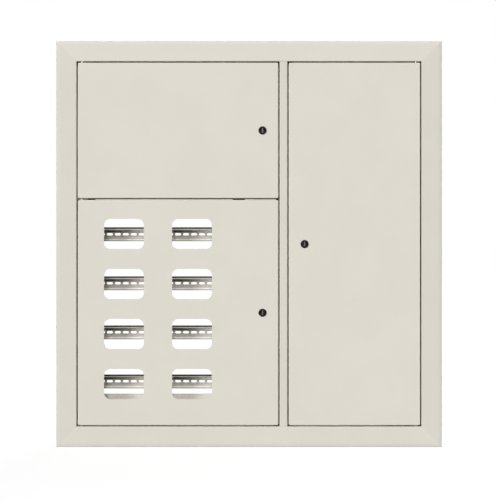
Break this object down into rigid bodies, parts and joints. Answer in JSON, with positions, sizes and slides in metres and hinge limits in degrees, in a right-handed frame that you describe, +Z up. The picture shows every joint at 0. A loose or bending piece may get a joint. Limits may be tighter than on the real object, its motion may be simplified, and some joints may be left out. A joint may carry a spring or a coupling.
{
  "type": "floor distribution board",
  "caption": "Flush steel floor distribution board with an open back: sloped trim frame, lockable flush doors, and windows in front of slotted mounting rails.",
  "frame": {"origin": "centre of the four wall-fixing holes, on the rear plane", "axes": "+X to the right seen from the front, +Y into the wall, +Z up"},
  "size_m": [0.95, 0.142, 1],
  "materials": {
    "powder_coat": "fine texture",
    "galvanised_steel": "galvanised",
    "zinc_plate": "zinc plated",
    "zinc_casting": "die cast",
    "black_nylon": "moulded",
    "white_nylon": "moulded",
    "insulator": "moulded",
    "brass": "drawn"
  },
  "bodies": {
    "cabinet": {"frame_top_rail": "powder_coat", "frame_bottom_rail": "powder_coat", "frame_left_stile": "powder_coat", "frame_right_stile": "powder_coat", "mullion": "powder_coat", "cross_shelf": "powder_coat", "top_wall": "powder_coat", "bottom_wall": "powder_coat", "left_side_wall": "powder_coat", "right_side_wall": "powder_coat", "partition_wall": "powder_coat", "left_post": "galvanised_steel", "middle_post": "galvanised_steel", "right_post": "galvanised_steel", "cable_bar": "galvanised_steel", "upper_mounting_strip": "galvanised_steel", "lower_mounting_strip": "galvanised_steel", "equipment_plate": "galvanised_steel", "left_rail_1": "galvanised_steel", "left_rail_2": "galvanised_steel", "left_rail_3": "galvanised_steel", "left_rail_4": "galvanised_steel", "right_rail_1": "galvanised_steel", "right_rail_2": "galvanised_steel", "right_rail_3": "galvanised_steel", "right_rail_4": "galvanised_steel", "terminal_screws": "zinc_plate", "frame_screws": "zinc_plate", "wall_screws": "zinc_plate", "rail_screws": "zinc_plate", "main_earth_bolt": "zinc_plate", "hinge_pins": "zinc_plate", "middle_hinge_pin": "zinc_plate", "neutral_bar": "brass", "earth_bar": "brass", "neutral_insulators": "insulator"},
    "upper_door": {"upper_door_panel": "powder_coat", "upper_door_bushes": "white_nylon", "upper_door_stud": "zinc_plate", "upper_lock_housing": "black_nylon", "upper_lock_nut": "zinc_plate"},
    "upper_lock": {"upper_lock_core": "zinc_casting", "upper_lock_cam": "zinc_plate", "upper_lock_screw": "zinc_plate"},
    "lower_door": {"lower_door_panel": "powder_coat", "lower_door_bushes": "white_nylon", "lower_door_stud": "zinc_plate", "lower_lock_housing": "black_nylon", "lower_lock_nut": "zinc_plate"},
    "lower_lock": {"lower_lock_core": "zinc_casting", "lower_lock_cam": "zinc_plate", "lower_lock_screw": "zinc_plate"},
    "right_door": {"right_door_panel": "powder_coat", "right_door_bushes": "white_nylon", "right_door_stud": "zinc_plate", "right_lock_housing": "black_nylon", "right_lock_nut": "zinc_plate"},
    "right_lock": {"right_lock_core": "zinc_casting", "right_lock_cam": "zinc_plate", "right_lock_screw": "zinc_plate"}
  },
  "joints": [
    {"name": "upper_door_hinge", "type": "hinge", "parent": "cabinet", "child": "upper_door", "pos_m": [-0.4115, -0.1335, 0.27953], "axis": [0, 0, -1], "range_deg": [0, 115]},
    {"name": "upper_lock_turn", "type": "hinge", "parent": "upper_door", "child": "upper_lock", "pos_m": [0.03325, -0.12, 0.27953], "axis": [0, -1, 0], "range_deg": [0, 90]},
    {"name": "lower_door_hinge", "type": "hinge", "parent": "cabinet", "child": "lower_door", "pos_m": [-0.4115, -0.1335, -0.16903], "axis": [0, 0, -1], "range_deg": [0, 115]},
    {"name": "lower_lock_turn", "type": "hinge", "parent": "lower_door", "child": "lower_lock", "pos_m": [0.03325, -0.12, -0.16903], "axis": [0, -1, 0], "range_deg": [0, 90]},
    {"name": "right_door_hinge", "type": "hinge", "parent": "cabinet", "child": "right_door", "pos_m": [0.4115, -0.1335, 0], "axis": [0, 0, 1], "range_deg": [0, 115]},
    {"name": "right_lock_turn", "type": "hinge", "parent": "right_door", "child": "right_lock", "pos_m": [0.13675, -0.12, 0], "axis": [0, 1, 0], "range_deg": [0, 90]}
  ]
}
